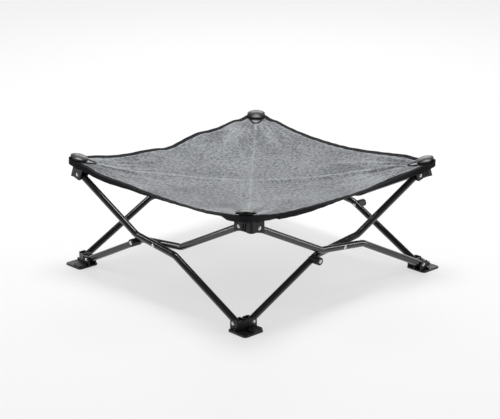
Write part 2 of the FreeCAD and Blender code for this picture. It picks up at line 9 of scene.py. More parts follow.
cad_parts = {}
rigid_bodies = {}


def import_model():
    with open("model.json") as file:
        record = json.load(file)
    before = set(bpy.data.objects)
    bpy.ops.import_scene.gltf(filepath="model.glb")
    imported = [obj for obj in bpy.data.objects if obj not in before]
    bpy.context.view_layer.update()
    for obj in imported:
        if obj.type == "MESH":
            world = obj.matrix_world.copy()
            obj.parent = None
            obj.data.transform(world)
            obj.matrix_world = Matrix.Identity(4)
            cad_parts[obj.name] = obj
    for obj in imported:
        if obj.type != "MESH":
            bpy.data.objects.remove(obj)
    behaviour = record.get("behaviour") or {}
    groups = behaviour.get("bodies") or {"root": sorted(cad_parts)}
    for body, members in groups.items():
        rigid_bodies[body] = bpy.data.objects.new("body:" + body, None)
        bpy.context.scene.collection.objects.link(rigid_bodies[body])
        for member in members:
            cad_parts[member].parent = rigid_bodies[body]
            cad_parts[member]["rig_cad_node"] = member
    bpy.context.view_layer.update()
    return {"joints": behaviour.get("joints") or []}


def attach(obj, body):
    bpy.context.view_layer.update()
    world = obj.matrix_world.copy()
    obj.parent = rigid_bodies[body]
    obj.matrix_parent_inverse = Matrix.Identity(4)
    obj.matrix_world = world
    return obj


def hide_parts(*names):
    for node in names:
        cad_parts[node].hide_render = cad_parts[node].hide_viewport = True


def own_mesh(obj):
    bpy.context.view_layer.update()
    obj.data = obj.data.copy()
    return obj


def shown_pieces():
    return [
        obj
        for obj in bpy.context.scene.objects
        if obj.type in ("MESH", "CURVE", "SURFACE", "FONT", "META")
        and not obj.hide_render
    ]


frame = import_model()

# Folding raised pet bed.  Metres, +Z up, origin on the floor under the middle of the bed.
# Corners run front, right, back, left, anticlockwise from above; everything soft is built for
# the front corner's quarter (x > 0, y < 0) and turned about Z by quarter turns.
CORNERS = ["front", "right", "back", "left"]
JOINTS = {joint["name"]: joint for joint in frame["joints"]}

# ---------------------------------------------------------------- places taken from the frame
HALF = abs(JOINTS["scissor_front_left"]["pos_m"][1])
HINGE = Vector(JOINTS["sling_hang_front"]["pos_m"])
HINGE_D = (HINGE.x - HALF) * math.sqrt(2)           # hinge from the corner axis, outward positive

# ---------------------------------------------------------------- sizes of the soft pieces
MM = 0.001
EDGE_AT_MIDDLE = 281.3 * MM
EDGE_AT_CORNER = 313.5 * MM     # edge beside the hubs, before the corners are rounded
EDGE_STRAIGHT = 272 * MM        # the edge is straight from here to the corner
EDGE_ROUND = 20 * MM            # rounding of the sling's corners in plan
SURFACE_TIP = 316 * MM          # sharp corner tip of the sling's surface, and its height
CORNER_TIP_Z = 274.2 * MM
EDGE_SAG = 29 * MM              # of the CAD surface, half-way along a side
# Further sag of each edge of the worn sling, and of its middle.
SIDE_SAG = {
    "front_left": 5 * MM,
    "front_right": 5 * MM,
    "back_right": -14.5 * MM,
    "back_left": -13 * MM,
}
MIDDLE_SAG = 7 * MM
# Rises and dips of the pulled edges: (side, place along X or Y, half width, height), in mm.
EDGE_WAVES = [
    ("front_left", -200, 55, -4.5),
    ("front_left", 205, 50, 2.5),
    ("front_right", 90, 60, -3.0),
    ("back_right", 160, 110, 3.5),
    ("back_left", -200, 45, -3.0),
    ("back_left", -145, 60, -4.0),
    ("back_left", -26, 36, -6.0),
    ("back_left", 76, 52, 8.5),
    ("back_left", 190, 50, 3.0),
]
SAG_STARTS = 30 * MM            # the further sag and the waves begin this far from a corner's axis
SAG_WHOLE = 76 * MM             # and are whole from here
CLOTH_T = 1.3 * MM
FLANGE = 20.8 * MM              # half side of the hub's flange under the cloth
TAPE_DROP = 13.2 * MM
TAPE_FLAP = 11 * MM             # of the tape that lies on the cloth
TAPE_T = 1.5 * MM
TAPE_SKIN = 0.9 * MM            # height of the tape's flap above the cloth
# How far the hanging part of the tape turns in under the cloth, in degrees, and how much more
# it turns in one stretch of each front side: (place along X or Y, half width of the stretch).
TAPE_LEAN = 12
TAPE_LEAN_MORE = 45
LEAN_FRONT_LEFT = (100 * MM, 200 * MM)
LEAN_FRONT_RIGHT = (60 * MM, 110 * MM)
CLOTH_CELLS = 84                # of the cloth's grid, along each side of a quarter


# ---------------------------------------------------------------- small helpers
def turned(point, quarter):
    """Point turned about Z by quarter turns."""
    x, y, z = point
    for _ in range(quarter % 4):
        x, y = -y, x
    return Vector((x, y, z))


def smooth(value, low, high):
    share = np.clip((np.asarray(value, float) - low) / (high - low), 0.0, 1.0)
    return share * share * (3 - 2 * share)


def bell(value, centre, half_width):
    return np.exp(-((value - centre) / half_width) ** 2)


def from_corner(x, y):
    """Distance in plan from the nearest corner's axis."""
    return np.hypot(np.abs(x) - HALF, np.abs(y) - HALF)


# ---------------------------------------------------------------- the sling's surface
def edge_at(share):
    """Outer edge of the sling from the middle line, share 0 half-way along a side, 1 at a tip."""
    rise = (share * EDGE_AT_CORNER / EDGE_STRAIGHT) ** 2
    past = rise - 1
    rise = rise - (past + np.sqrt(past * past + 0.0025)) / 2
    return EDGE_AT_MIDDLE + (EDGE_AT_CORNER - EDGE_AT_MIDDLE) * rise


def side_sag(x, y):
    """Extra sag at (x, y), blended from the four edges, nothing near the corners."""
    along_x = 1 - (x / SURFACE_TIP) ** 2
    along_y = 1 - (y / SURFACE_TIP) ** 2
    share_y = smooth(y, -SURFACE_TIP, SURFACE_TIP)
    share_x = smooth(x, -SURFACE_TIP, SURFACE_TIP)
    by_y = SIDE_SAG["front_left"] * (1 - share_y) + SIDE_SAG["back_right"] * share_y
    by_x = SIDE_SAG["back_left"] * (1 - share_x) + SIDE_SAG["front_right"] * share_x
    sag = by_y * along_x + by_x * along_y + MIDDLE_SAG * along_x * along_y
    return (sag - edge_waves(x, y)) * smooth(from_corner(x, y), SAG_STARTS, SAG_WHOLE)


WAVE_ENDS = 100 * MM            # an edge's rise or dip has faded out this near the middle line
WAVE_WHOLE = 290 * MM


def edge_waves(x, y):
    """Height of the rises and dips of the edges, fading out towards the middle of the bed."""
    height = np.zeros_like(x)
    for side, place, half_width, tall in EDGE_WAVES:
        outward, along = {
            "front_left": (-y, x),
            "front_right": (x, y),
            "back_right": (y, x),
            "back_left": (-x, y),
        }[side]
        wave = bell(along, place * MM, half_width * MM)
        height = height + tall * MM * wave * smooth(outward, WAVE_ENDS, WAVE_WHOLE)
    return height


# Tension ridges that fan out from each hub: (angle from the diagonal in degrees, height,
# width at the hub, length).
RIDGES = [
    (-39, 2.4, 3.2, 230),
    (-27, 2.2, 4.0, 190),
    (-15, 3.2, 4.5, 280),
    (0, 5.6, 5.0, 440),
    (12, 2.4, 4.0, 220),
    (24, 3.4, 4.5, 300),
    (38, 2.6, 3.2, 230),
]
RIDGE_WIDENS = 0.022            # width that a ridge gains with its distance from the hub
RIDGE_START = (26 * MM, 70 * MM)
RIDGE_FADE = (0.3, 1.1)         # shares of its length between which a ridge dies away
RIDGE_SWAY = 3.0                # degrees that a ridge wanders, and the one on the diagonal
DIAGONAL_SWAY = 0.6
SWAY_RUN = 110 * MM
VALLEY_DEPTH = 0.45             # trough on both sides of a ridge, as a share of it
VALLEY_WIDTH = 2.6


def corner_polar(x, y, quarter):
    """Distance from a corner's axis and angle from its diagonal in degrees."""
    corner = turned((HALF, -HALF, 0), quarter)
    inward = -corner.normalized()
    along = (x - corner.x) * inward.x + (y - corner.y) * inward.y
    side = (y - corner.y) * inward.x - (x - corner.x) * inward.y
    return np.hypot(along, side), np.degrees(np.arctan2(side, along))


def ridges(x, y):
    """Height of the tension ridges at (x, y)."""
    height = np.zeros_like(x)
    for quarter in range(4):
        reach, angle = corner_polar(x, y, quarter)
        for number, (centre, tall, wide, long) in enumerate(RIDGES):
            sway = DIAGONAL_SWAY if centre == 0 else RIDGE_SWAY
            bend = centre + sway * math.sin(1.7 * number + 2.3 * quarter)
            bend = bend + sway * np.sin(reach / SWAY_RUN + number + quarter)
            off = np.radians(angle - bend) * reach
            width = wide * MM + RIDGE_WIDENS * reach
            dying = smooth(reach, RIDGE_FADE[0] * long * MM, RIDGE_FADE[1] * long * MM)
            fade = smooth(reach, *RIDGE_START) * (1 - dying)
            weight = tall * (0.85 + 0.3 * math.sin(2.1 * number + 1.3 * quarter))
            crest = bell(off, 0, width) - VALLEY_DEPTH * bell(off, 0, VALLEY_WIDTH * width)
            height = height + weight * MM * fade * crest
    return height


RIPPLE_TALL = 0.6 * MM          # slight unevenness of the whole cloth
PUCKER_TALL = 0.4 * MM
PUCKER_RUN = 6.1 * MM           # along the edge, for one radian of a pucker's wave
PUCKER_AT = 278 * MM            # puckers are tallest here, from the middle line
PUCKER_REACH = 20 * MM
RIPPLE_START = (40 * MM, 140 * MM)  # from a corner's axis


def ripples(x, y):
    """Slight unevenness of the whole cloth, and short puckers that run in from the sewn edges."""
    over_x = np.sin(x / 0.047 + 1.1 * np.sin(y / 0.071))
    over_y = np.sin(y / 0.058 + 0.9 * np.sin(x / 0.083))
    along = np.where(np.abs(x) > np.abs(y), y, x)
    outward = np.maximum(np.abs(x), np.abs(y))
    gathers = np.sin(along / PUCKER_RUN + 2.2 * np.sin(along / 0.031))
    pucker = gathers * bell(outward, PUCKER_AT, PUCKER_REACH)
    height = RIPPLE_TALL * over_x * over_y + PUCKER_TALL * pucker
    return height * smooth(from_corner(x, y), *RIPPLE_START)


def sling_z(x, y):
    """Top of the cloth over (x, y), arrays allowed."""
    x = np.asarray(x, float)
    y = np.asarray(y, float)
    bowl = (1 - (x / SURFACE_TIP) ** 2) + (1 - (y / SURFACE_TIP) ** 2)
    return CORNER_TIP_Z - EDGE_SAG * bowl - side_sag(x, y) + ridges(x, y) + ripples(x, y)


def sling_normal(x, y):
    step = 0.8 * MM
    dx = (sling_z(x + step, y) - sling_z(x - step, y)) / (2 * step)
    dy = (sling_z(x, y + step) - sling_z(x, y - step)) / (2 * step)
    normal = np.stack([-dx, -dy, np.ones_like(dx)], -1)
    return normal / np.linalg.norm(normal, axis=-1, keepdims=True)


def round_corner(x, y):
    """Bends the sharp tip of the quarter's outline to a round one."""
    start = EDGE_AT_CORNER - EDGE_ROUND
    a = np.clip((x - start) / EDGE_ROUND, 0, 1)
    b = np.clip((-y - start) / EDGE_ROUND, 0, 1)
    round_x = start + EDGE_ROUND * a * np.sqrt(1 - b * b / 2)
    round_y = start + EDGE_ROUND * b * np.sqrt(1 - a * a / 2)
    new_x = np.where(a > 0, round_x, x)
    new_y = np.where(b > 0, -round_y, y)
    return new_x, new_y


def plan_point(s, t):
    """Place in plan for cloth shares s along X and t along -Y, each 0 at the middle of the bed."""
    x = s * edge_at(t)
    y = -t * edge_at(s)
    return round_corner(np.asarray(x, float), np.asarray(y, float))


# ---------------------------------------------------------------- cutting cloth at the hub
SPLIT_D = HINGE_D               # cloth further out along the diagonal stays with the hub
DIAGONAL = Vector((1, -1, 0)).normalized()
ACROSS = Vector((1, 1, 0)).normalized()
CORNER = Vector((HALF, -HALF, 0))
# Each region is a list of (point, direction): what lies beyond the point along it is cut away.
BEYOND_SPLIT = (CORNER + DIAGONAL * SPLIT_D, DIAGONAL)
INSIDE_SPLIT = (CORNER + DIAGONAL * SPLIT_D, -DIAGONAL)
LEFT_EDGE = CORNER + Vector((-FLANGE, 0, 0))
RIGHT_EDGE = CORNER + Vector((0, FLANGE, 0))
X_AXIS = Vector((1, 0, 0))
Y_AXIS = Vector((0, 1, 0))
REGIONS = {
    "hanging": [BEYOND_SPLIT],
    "corner": [INSIDE_SPLIT, (LEFT_EDGE, -X_AXIS), (RIGHT_EDGE, Y_AXIS)],
    "left_wing": [INSIDE_SPLIT, (LEFT_EDGE, X_AXIS)],
    "right_wing": [INSIDE_SPLIT, (RIGHT_EDGE, -Y_AXIS)],
    "hub_side": [INSIDE_SPLIT],
}


def trim(mesh, region, fill):
    """Cuts a bmesh back to a region of the front quarter."""
    for point, away in REGIONS[region]:
        geometry = mesh.verts[:] + mesh.edges[:] + mesh.faces[:]
        bmesh.ops.bisect_plane(mesh, geom=geometry, plane_co=point, plane_no=away, clear_outer=True)
        if fill:
            rim = [edge for edge in mesh.edges if edge.is_boundary]
            bmesh.ops.holes_fill(mesh, edges=rim, sides=0)


def add_object(name, mesh):
    made = bpy.data.objects.new(name, mesh)
    bpy.context.scene.collection.objects.link(made)
    return made


def with_normals(mesh, normals):
    """Smooth shading that follows the given vertex normals."""
    mesh.polygons.foreach_set("use_smooth", [True] * len(mesh.polygons))
    mesh.normals_split_custom_set_from_vertices([tuple(n) for n in normals])


def plan_grid():
    """Flat grid over the front quarter of the sling, closer together towards the corner."""
    shares = [1 - (1 - i / CLOTH_CELLS) ** 1.25 for i in range(CLOTH_CELLS + 1)]
    s, t = np.meshgrid(shares, shares, indexing="ij")
    x, y = plan_point(s, t)
    mesh = bmesh.new()
    verts = [
        [mesh.verts.new((x[i, j], y[i, j], 0)) for j in range(CLOTH_CELLS + 1)]
        for i in range(CLOTH_CELLS + 1)
    ]
    for i in range(CLOTH_CELLS):
        for j in range(CLOTH_CELLS):
            mesh.faces.new((verts[i][j], verts[i][j + 1], verts[i + 1][j + 1], verts[i + 1][j]))
    return mesh


def turned_plan(x, y, quarter):
    for _ in range(quarter % 4):
        x, y = -y, x
    return x, y


def height_at(place, quarter):
    """Top of the cloth over a place given in the front quarter."""
    x, y = turned_plan(np.float64(place.x), np.float64(place.y), quarter)
    return float(sling_z(x, y))


def sheet_from_plan(name, plan, quarter, lift=0.0, thick=CLOTH_T):
    """Closed thin sheet over a flat bmesh, on the sling's surface, lift above it."""
    plan.verts.ensure_lookup_table()
    plan.verts.index_update()
    flat = np.array([v.co for v in plan.verts])
    x, y = turned_plan(flat[:, 0], flat[:, 1], quarter)
    normal = sling_normal(x, y)
    surface = np.stack([x, y, sling_z(x, y)], -1)
    upper = surface + normal * lift
    lower = upper - normal * thick
    count = len(flat)
    faces = [[v.index for v in face.verts] for face in plan.faces]
    if faces and plan.faces[:][0].normal.z < 0:
        faces = [face[::-1] for face in faces]
    rim = []
    for edge in plan.edges:
        if edge.is_boundary:
            loop = edge.link_loops[0]
            rim.append((loop.vert.index, loop.link_loop_next.vert.index))
    walls = [[a, a + count, b + count, b] for a, b in rim]
    under = [[i + count for i in face[::-1]] for face in faces]
    mesh = bpy.data.meshes.new(name)
    mesh.from_pydata(np.concatenate([upper, lower]).tolist(), [], faces + under + walls)
    mesh.update()
    uv = mesh.uv_layers.new(name="cloth")
    plan_xy = np.concatenate([np.stack([x, y], -1)] * 2)
    loops = np.empty(len(mesh.loops), int)
    mesh.loops.foreach_get("vertex_index", loops)
    uv.data.foreach_set("uv", plan_xy[loops].astype(np.float32).ravel())
    with_normals(mesh, np.concatenate([normal, -normal]))
    return add_object(name, mesh)


# ---------------------------------------------------------------- binding tape
def outline_points(count=150):
    """Plan points of the quarter's outer edge from mid-side to mid-side, with outward normals."""
    half = count // 2
    shares = [1 - (1 - i / half) ** 1.3 for i in range(half + 1)]
    first = [plan_point(np.float64(share), np.float64(1)) for share in shares]
    second = [plan_point(np.float64(1), np.float64(share)) for share in reversed(shares)]
    points = [Vector((float(x), float(y), 0)) for x, y in first + second[1:]]
    normals = []
    for i, point in enumerate(points):
        before = points[max(i - 1, 0)]
        after = points[min(i + 1, len(points) - 1)]
        along = (after - before).normalized()
        normals.append(Vector((along.y, -along.x, 0)))
    normals[0] = Vector((0, -1, 0))
    normals[-1] = Vector((1, 0, 0))
    return points, normals


def tape_profile():
    """Section of the tape as (outward, upward, on the cloth) points round a folded band."""
    half = TAPE_T / 2
    outside = [(half, -TAPE_DROP * i / 6, False) for i in range(6, 0, -1)]
    fold = [
        (half * 1.1, 0.1 * MM, False),
        (half * 0.7, 0.8 * MM, False),
        (-0.4 * MM, TAPE_SKIN * 1.15, True),
    ]
    flap = [(-TAPE_FLAP * i / 6, TAPE_SKIN, True) for i in range(1, 7)]
    hem = [(-TAPE_FLAP - 0.35 * MM, 0.4 * MM, True), (-TAPE_FLAP, -0.2 * MM, True)]
    under = [(-TAPE_FLAP * i / 3, -0.2 * MM, True) for i in (2, 1)]
    inner = [(-half, -1.6 * MM, False)] + [(-half, -TAPE_DROP * i / 4, False) for i in range(1, 5)]
    return outside + fold + flap + hem + under + inner


def tape_lean(x, y):
    """How far the hanging part turns in under the cloth, in radians: upright at the hubs."""
    front_left = bell(x, *LEAN_FRONT_LEFT) * (y < -200 * MM)
    front_right = bell(y, *LEAN_FRONT_RIGHT) * (x > 200 * MM)
    turn = TAPE_LEAN + TAPE_LEAN_MORE * np.maximum(front_left, front_right)
    return np.radians(turn) * smooth(from_corner(x, y), 30 * MM, 85 * MM)


def tape_rings(quarter):
    """Distance along the edge and the section's points there, ring by ring."""
    points, normals = outline_points()
    plan = np.array([point[:2] for point in points])
    outward = np.array([normal[:2] for normal in normals])
    steps = np.linalg.norm(np.diff(plan, axis=0), axis=1)
    run = np.concatenate([[0.0], np.cumsum(steps)])
    profile = tape_profile()
    out = np.array([row[0] for row in profile])
    up = np.array([row[1] for row in profile])
    on_cloth = np.array([row[2] for row in profile])
    drop = np.minimum(up, 0.0) * ~on_cloth
    lean = tape_lean(*turned_plan(plan[:, 0], plan[:, 1], quarter))[:, None]
    wobble = 0.5 * MM * np.sin(run / 0.019 + quarter) + 0.4 * MM * np.sin(run / 0.047 + 2 * quarter)
    shift = out + drop * np.sin(lean) - wobble[:, None] * drop / TAPE_DROP
    place = plan[:, None, :] + outward[:, None, :] * shift[:, :, None]
    under = np.where(on_cloth[None, :, None], place, plan[:, None, :])
    x, y = turned_plan(under[..., 0], under[..., 1], quarter)
    height = sling_z(x, y) + up - drop + drop * np.cos(lean)
    return run, np.concatenate([place, height[..., None]], -1)


def tape_mesh(name, quarter, region):
    """The binding along the quarter's outer edge, cut back to a region."""
    runs, places = tape_rings(quarter)
    profile = tape_profile()
    mesh = bmesh.new()
    uv = mesh.loops.layers.uv.new("cloth")
    rings = [(run, [mesh.verts.new(place) for place in ring]) for run, ring in zip(runs, places)]
    size = len(profile)
    around = [0.0]
    for j in range(1, size + 1):
        before, after = profile[j - 1], profile[j % size]
        around.append(around[-1] + math.hypot(before[0] - after[0], before[1] - after[1]))
    for (run_a, ring_a), (run_b, ring_b) in zip(rings, rings[1:]):
        for j in range(size):
            k = (j + 1) % size
            face = mesh.faces.new((ring_a[j], ring_a[k], ring_b[k], ring_b[j]))
            low, high = around[j], around[j + 1]
            corners = [(run_a, low), (run_a, high), (run_b, high), (run_b, low)]
            for loop, corner in zip(face.loops, corners):
                loop[uv].uv = corner
    for _, ring in (rings[0], rings[-1]):
        mesh.faces.new(ring)
    trim(mesh, region, True)
    bmesh.ops.recalc_face_normals(mesh, faces=mesh.faces)
    return finish_bmesh(name, mesh, quarter, 40)


def finish_bmesh(name, mesh, quarter, sharp_degrees):
    """Turns a front-quarter bmesh to its place and makes it a smooth-shaded object."""
    bmesh.ops.transform(mesh, matrix=Matrix.Rotation(math.radians(90 * quarter), 4, "Z"), verts=mesh.verts)
    data = bpy.data.meshes.new(name)
    mesh.to_mesh(data)
    mesh.free()
    data.polygons.foreach_set("use_smooth", [True] * len(data.polygons))
    data.set_sharp_from_angle(angle=math.radians(sharp_degrees))
    return add_object(name, data)


# ---------------------------------------------------------------- leaf patches under the caps
PATCH_OUT = 8 * MM
PATCH_IN = 42 * MM
PATCH_WIDE = 15 * MM            # half width of the leaf
PATCH_T = 0.9 * MM
PATCH_LIFT = 0.8 * MM           # top of the patch above the cloth
PIPING_RADIUS = 1.8 * MM
SEAM_LONG = 0.87                # the seam inside the piping, as shares of the leaf's outline
SEAM_WIDE = 0.8


def leaf_outline(count=40):
    """Corner-centred plan outline of the leaf, as (along the inward diagonal, across)."""
    points = []
    for i in range(count):
        turn = 2 * math.pi * i / count
        along = (PATCH_IN - PATCH_OUT) / 2 + (PATCH_IN + PATCH_OUT) / 2 * math.cos(turn)
        taper = 1 - 0.45 * max(0.0, math.cos(turn)) ** 1.5
        points.append((along, PATCH_WIDE * math.sin(turn) * taper))
    return points


def leaf_plan(rings=7):
    """Flat bmesh of the leaf in the front quarter."""
    outline = leaf_outline()
    middle = (PATCH_IN - PATCH_OUT) / 2
    mesh = bmesh.new()
    centre = mesh.verts.new(CORNER - DIAGONAL * middle)
    loops = []
    for ring in range(1, rings + 1):
        share = ring / rings
        loop = []
        for along, across in outline:
            reach = middle + (along - middle) * share
            loop.append(mesh.verts.new(CORNER - DIAGONAL * reach + ACROSS * across * share))
        loops.append(loop)
    count = len(outline)
    for i in range(count):
        mesh.faces.new((centre, loops[0][i], loops[0][(i + 1) % count]))
    for inner, outer in zip(loops, loops[1:]):
        for i in range(count):
            k = (i + 1) % count
            mesh.faces.new((inner[i], outer[i], outer[k], inner[k]))
    return mesh


def leaf_piping(name, quarter, region):
    """Raised black cord sewn round the leaf."""
    sides = 8
    outline = leaf_outline(72)
    places = [CORNER - DIAGONAL * along + ACROSS * across for along, across in outline]
    mesh = bmesh.new()
    rings = []
    count = len(places)
    for i, place in enumerate(places):
        along = (places[(i + 1) % count] - places[i - 1]).normalized()
        side = Vector((along.y, -along.x, 0))
        top = height_at(place, quarter) + 1.2 * MM
        ring = []
        for k in range(sides):
            turn = 2 * math.pi * k / sides
            lift = Vector((0, 0, top + PIPING_RADIUS * math.sin(turn)))
            ring.append(mesh.verts.new(place + side * PIPING_RADIUS * math.cos(turn) + lift))
        rings.append(ring)
    for i in range(count):
        here, there = rings[i], rings[(i + 1) % count]
        for k in range(sides):
            m = (k + 1) % sides
            mesh.faces.new((here[k], here[m], there[m], there[k]))
    trim(mesh, region, True)
    bmesh.ops.recalc_face_normals(mesh, faces=mesh.faces)
    return finish_bmesh(name, mesh, quarter, 60)


# ---------------------------------------------------------------- stitching
STITCH = 2.9 * MM
STITCH_PITCH = 4.2 * MM
THREAD = 0.35 * MM


def stitch(mesh, centre, along, up):
    """One raised stitch: a small rounded bar of thread."""
    side = along.cross(up).normalized()
    rings = []
    for share, size in ((-0.5, 0.25), (-0.3, 1.0), (0.3, 1.0), (0.5, 0.25)):
        middle = centre + along * STITCH * share
        ring = []
        for k in range(6):
            turn = math.tau * k / 6
            offset = side * math.cos(turn) * THREAD * 1.3 + up * math.sin(turn) * THREAD
            ring.append(mesh.verts.new(middle + offset * size))
        rings.append(ring)
    for here, there in zip(rings, rings[1:]):
        for k in range(6):
            m = (k + 1) % 6
            mesh.faces.new((here[k], here[m], there[m], there[k]))
    mesh.faces.new(rings[0][::-1])
    mesh.faces.new(rings[-1])


def inside_region(point, region):
    return all((point - place).dot(away) < -STITCH for place, away in REGIONS[region])


def tape_stitches(name, quarter, region):
    """Seam that holds the binding's flap down on the cloth, all along the edge."""
    points, _ = outline_points(600)
    mesh = bmesh.new()
    run, due = 0.0, STITCH_PITCH / 2
    for before, after in zip(points, points[1:]):
        step = (after - before).length
        if run + step >= due:
            along = (after - before).normalized()
            outward = Vector((along.y, -along.x, 0))
            place = before.lerp(after, (due - run) / step) - outward * (TAPE_FLAP - 1.8 * MM)
            due += STITCH_PITCH
            if inside_region(place, region):
                ahead = place + along * MM
                here = place + Vector((0, 0, height_at(place, quarter) + MM))
                there = ahead + Vector((0, 0, height_at(ahead, quarter) + MM))
                stitch(mesh, here, (there - here).normalized(), Vector((0, 0, 1)))
        run += step
    bmesh.ops.recalc_face_normals(mesh, faces=mesh.faces)
    return finish_bmesh(name, mesh, quarter, 50)


def patch_stitches(name, quarter, region):
    """Seam just inside the leaf's piping."""
    middle = (PATCH_IN - PATCH_OUT) / 2
    outline = leaf_outline(360)
    places = []
    for along, across in outline:
        reach = middle + (along - middle) * SEAM_LONG
        places.append(CORNER - DIAGONAL * reach + ACROSS * across * SEAM_WIDE)
    mesh = bmesh.new()
    run, due = 0.0, 0.0
    pitch = STITCH_PITCH * 0.8
    for before, after in zip(places, places[1:] + places[:1]):
        run += (after - before).length
        if run < due:
            continue
        due += pitch
        if not inside_region(after, region):
            continue
        along = (after - before).normalized()
        centre = after + Vector((0, 0, height_at(after, quarter) + PATCH_LIFT + 0.1 * MM))
        stitch(mesh, centre, along, Vector((0, 0, 1)))
    bmesh.ops.recalc_face_normals(mesh, faces=mesh.faces)
    return finish_bmesh(name, mesh, quarter, 50)


# ---------------------------------------------------------------- materials
class Finish:
    """One procedural material, built node by node round a Principled surface."""

    def __init__(self, name, colour, roughness, **sockets):
        self.material = bpy.data.materials.new(name)
        self.material.use_nodes = True
        self.tree = self.material.node_tree
        self.surface = next(n for n in self.tree.nodes if n.type == "BSDF_PRINCIPLED")
        self.surface.inputs["Base Color"].default_value = (*colour, 1)
        self.surface.inputs["Roughness"].default_value = roughness
        for socket, value in sockets.items():
            self.surface.inputs[socket.replace("_", " ")].default_value = value

    def node(self, kind, **inputs):
        """New node; each input is a socket to link from or a constant, by its label or number."""
        made = self.tree.nodes.new("ShaderNode" + kind)
        for key, value in inputs.items():
            at = int(key[1:]) if key[0] == "i" and key[1:].isdigit() else key.replace("_", " ")
            if isinstance(value, bpy.types.NodeSocket):
                self.tree.links.new(value, made.inputs[at])
            else:
                made.inputs[at].default_value = value
        return made

    def maths(self, operation, first, second=0.0):
        made = self.node("Math", i0=first, i1=second)
        made.operation = operation
        return made.outputs[0]

    def object_space(self):
        return self.node("TexCoord").outputs["Object"]

    def cloth_space(self):
        made = self.node("UVMap")
        made.uv_map = "cloth"
        return made.outputs[0]

    def stretched(self, vector, x, y, z=1.0):
        return self.node("Mapping", Vector=vector, Scale=(x, y, z)).outputs[0]

    def noise(self, vector, scale, detail=2.0, roughness=0.5):
        made = self.node("TexNoise", Vector=vector, Scale=scale, Detail=detail, Roughness=roughness)
        return made.outputs[0]

    def ramp(self, value, low, high, at_low=0.0, at_high=1.0):
        """Straight ramp of value from low..high to at_low..at_high."""
        made = self.node("MapRange", i0=value, i1=low, i2=high, i3=at_low, i4=at_high)
        return made.outputs[0]

    def blend(self, share, dark, light):
        made = self.node("Mix", i0=share)
        made.data_type = "RGBA"
        for number, colour in ((6, dark), (7, light)):
            if isinstance(colour, bpy.types.NodeSocket):
                self.tree.links.new(colour, made.inputs[number])
            else:
                made.inputs[number].default_value = (*colour, 1)
        return made.outputs[2]

    def crease(self, off, half_width):
        """1 on the line where off is 0, falling to 0 at the half width to either side."""
        return self.ramp(self.maths("ABSOLUTE", off), 0.0, half_width, 1.0, 0.0)

    def bump(self, height, distance, strength=1.0):
        return self.node("Bump", Height=height, Distance=distance, Strength=strength).outputs[0]

    def join(self, **sockets):
        for socket, value in sockets.items():
            self.tree.links.new(value, self.surface.inputs[socket.replace("_", " ")])
        return self.material


def powder_coat():
    """Satin black powder coat on the steel tubes."""
    f = Finish(
        "powder coat",
        (0.006, 0.006, 0.007),
        0.2,
        Specular_IOR_Level=0.2,
        Coat_Weight=0.8,
        Coat_Roughness=0.06,
    )
    space = f.object_space()
    peel = f.noise(space, 900, 2.0)
    cloud = f.noise(space, 45, 3.0)
    dust = f.ramp(f.noise(space, 260, 4.0, 0.65), 0.6, 0.8)
    colour = f.blend(f.maths("MULTIPLY", dust, 0.3), (0.005, 0.005, 0.006), (0.022, 0.022, 0.024))
    return f.join(
        Base_Color=colour,
        Roughness=f.ramp(cloud, 0.3, 0.7, 0.15, 0.24),
        Normal=f.bump(peel, 0.00011, 0.55),
    )


def moulded_plastic():
    """Black moulded nylon of the hubs and feet, with a fine spark-eroded grain."""
    f = Finish("moulded plastic", (0.012, 0.012, 0.013), 0.44, Specular_IOR_Level=0.36)
    space = f.object_space()
    grain = f.noise(space, 2100, 2.0, 0.6)
    scuff = f.noise(space, 60, 4.0, 0.6)
    colour = f.blend(f.ramp(scuff, 0.35, 0.7), (0.009, 0.009, 0.01), (0.017, 0.017, 0.0185))
    return f.join(
        Base_Color=colour,
        Roughness=f.ramp(scuff, 0.3, 0.72, 0.37, 0.52),
        Normal=f.bump(grain, 0.00012, 0.5),
    )


def glossy_cap():
    """Smoother, shinier moulding of the caps."""
    f = Finish("glossy cap", (0.007, 0.007, 0.008), 0.34, Specular_IOR_Level=0.45)
    space = f.object_space()
    flow = f.noise(space, 70, 3.0, 0.55)
    grain = f.noise(space, 1500, 2.0)
    return f.join(
        Roughness=f.ramp(flow, 0.3, 0.7, 0.29, 0.4),
        Normal=f.bump(grain, 0.00005, 0.4),
    )


def bush_plastic():
    """Black nylon of the spacers between the tubes."""
    f = Finish("bush plastic", (0.01, 0.01, 0.011), 0.4, Specular_IOR_Level=0.4)
    space = f.object_space()
    grain = f.noise(space, 1300, 3.0)
    return f.join(
        Roughness=f.ramp(grain, 0.3, 0.7, 0.34, 0.48),
        Normal=f.bump(grain, 0.0001, 0.4),
    )


def zinc():
    """Bright zinc-plated rivets, slightly cloudy with fine tumbling marks."""
    f = Finish("zinc plate", (0.62, 0.63, 0.64), 0.3, Metallic=1.0)
    space = f.object_space()
    cloud = f.noise(space, 420, 3.0, 0.6)
    marks = f.noise(f.stretched(space, 1, 1, 7), 1900, 3.0, 0.7)
    colour = f.blend(f.ramp(cloud, 0.35, 0.68), (0.5, 0.5, 0.51), (0.73, 0.74, 0.76))
    return f.join(
        Base_Color=colour,
        Roughness=f.ramp(cloud, 0.3, 0.7, 0.24, 0.38),
        Normal=f.bump(marks, 0.00004, 0.5),
    )


